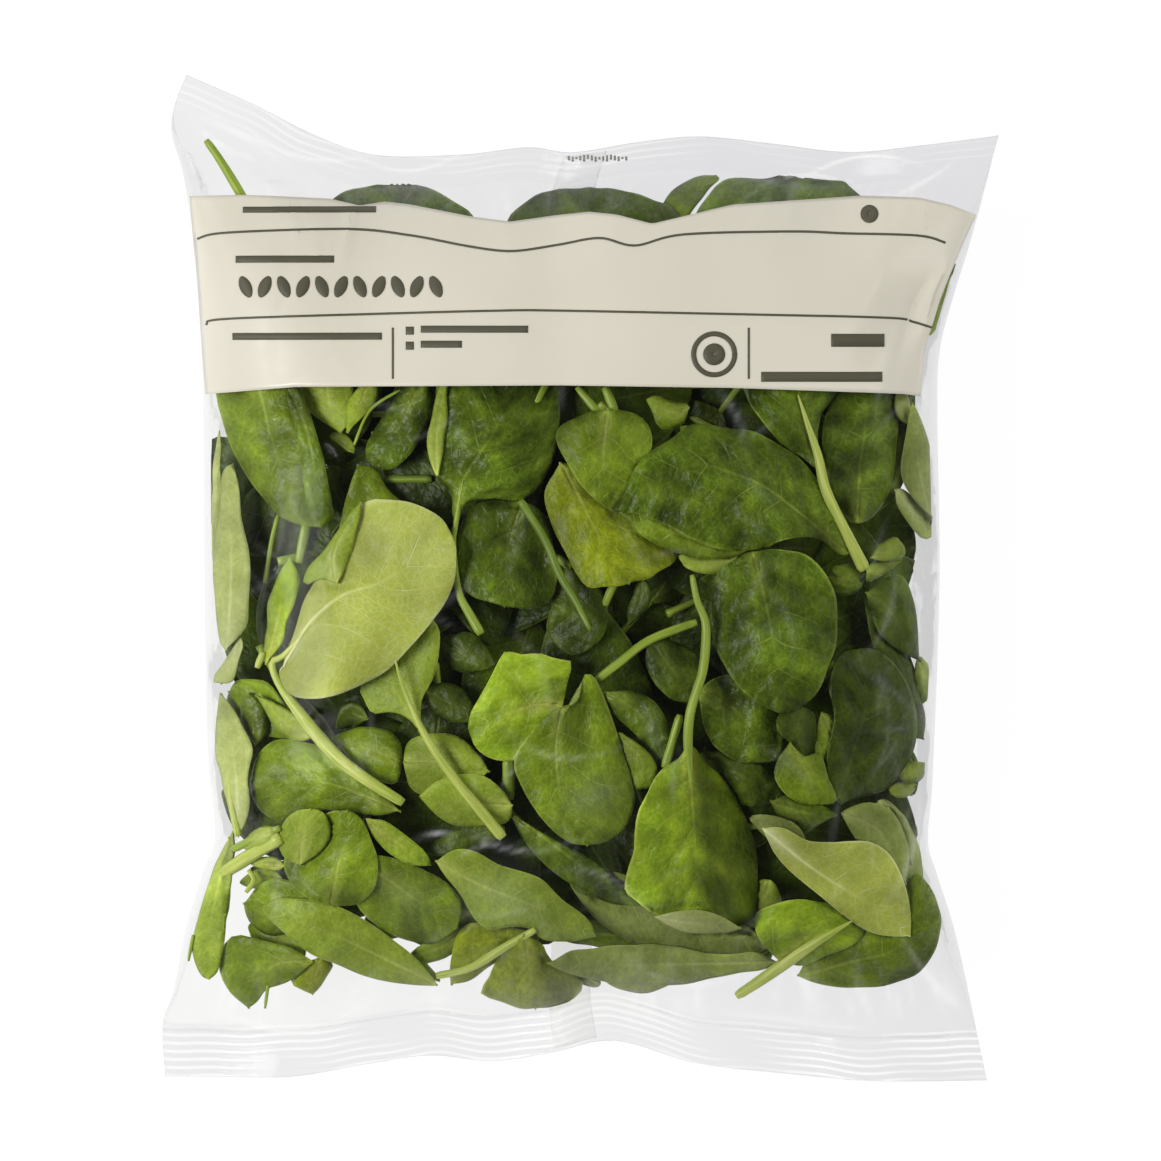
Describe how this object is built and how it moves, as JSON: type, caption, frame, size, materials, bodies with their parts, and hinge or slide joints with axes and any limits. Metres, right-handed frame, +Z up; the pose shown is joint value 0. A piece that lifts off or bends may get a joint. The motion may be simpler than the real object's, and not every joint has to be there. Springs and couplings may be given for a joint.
{
  "type": "bag of baby spinach",
  "caption": "Sealed clear film bag filled with baby spinach leaves, lying on its back, with crimped seals at both ends and a pale printed band across the front.",
  "frame": {"origin": "On the surface that the bag lies on, under the middle of the bag.", "axes": "+X across the bag to the right of its printed front, +Y towards the top seal, +Z up out of the printed front."},
  "size_m": [0.2544, 0.305, 0.075],
  "materials": {
    "clear_film": "clear glossy film",
    "printed_film": "pale cream ink on glossy film",
    "printed_ink": "dark olive grey ink on glossy film",
    "spinach_leaf": "fresh leaf with a soft waxy sheen",
    "spinach_stalk": "moist pale green stalk"
  },
  "bodies": {
    "root": {"spinach_bag": "clear_film"}
  },
  "joints": []
}
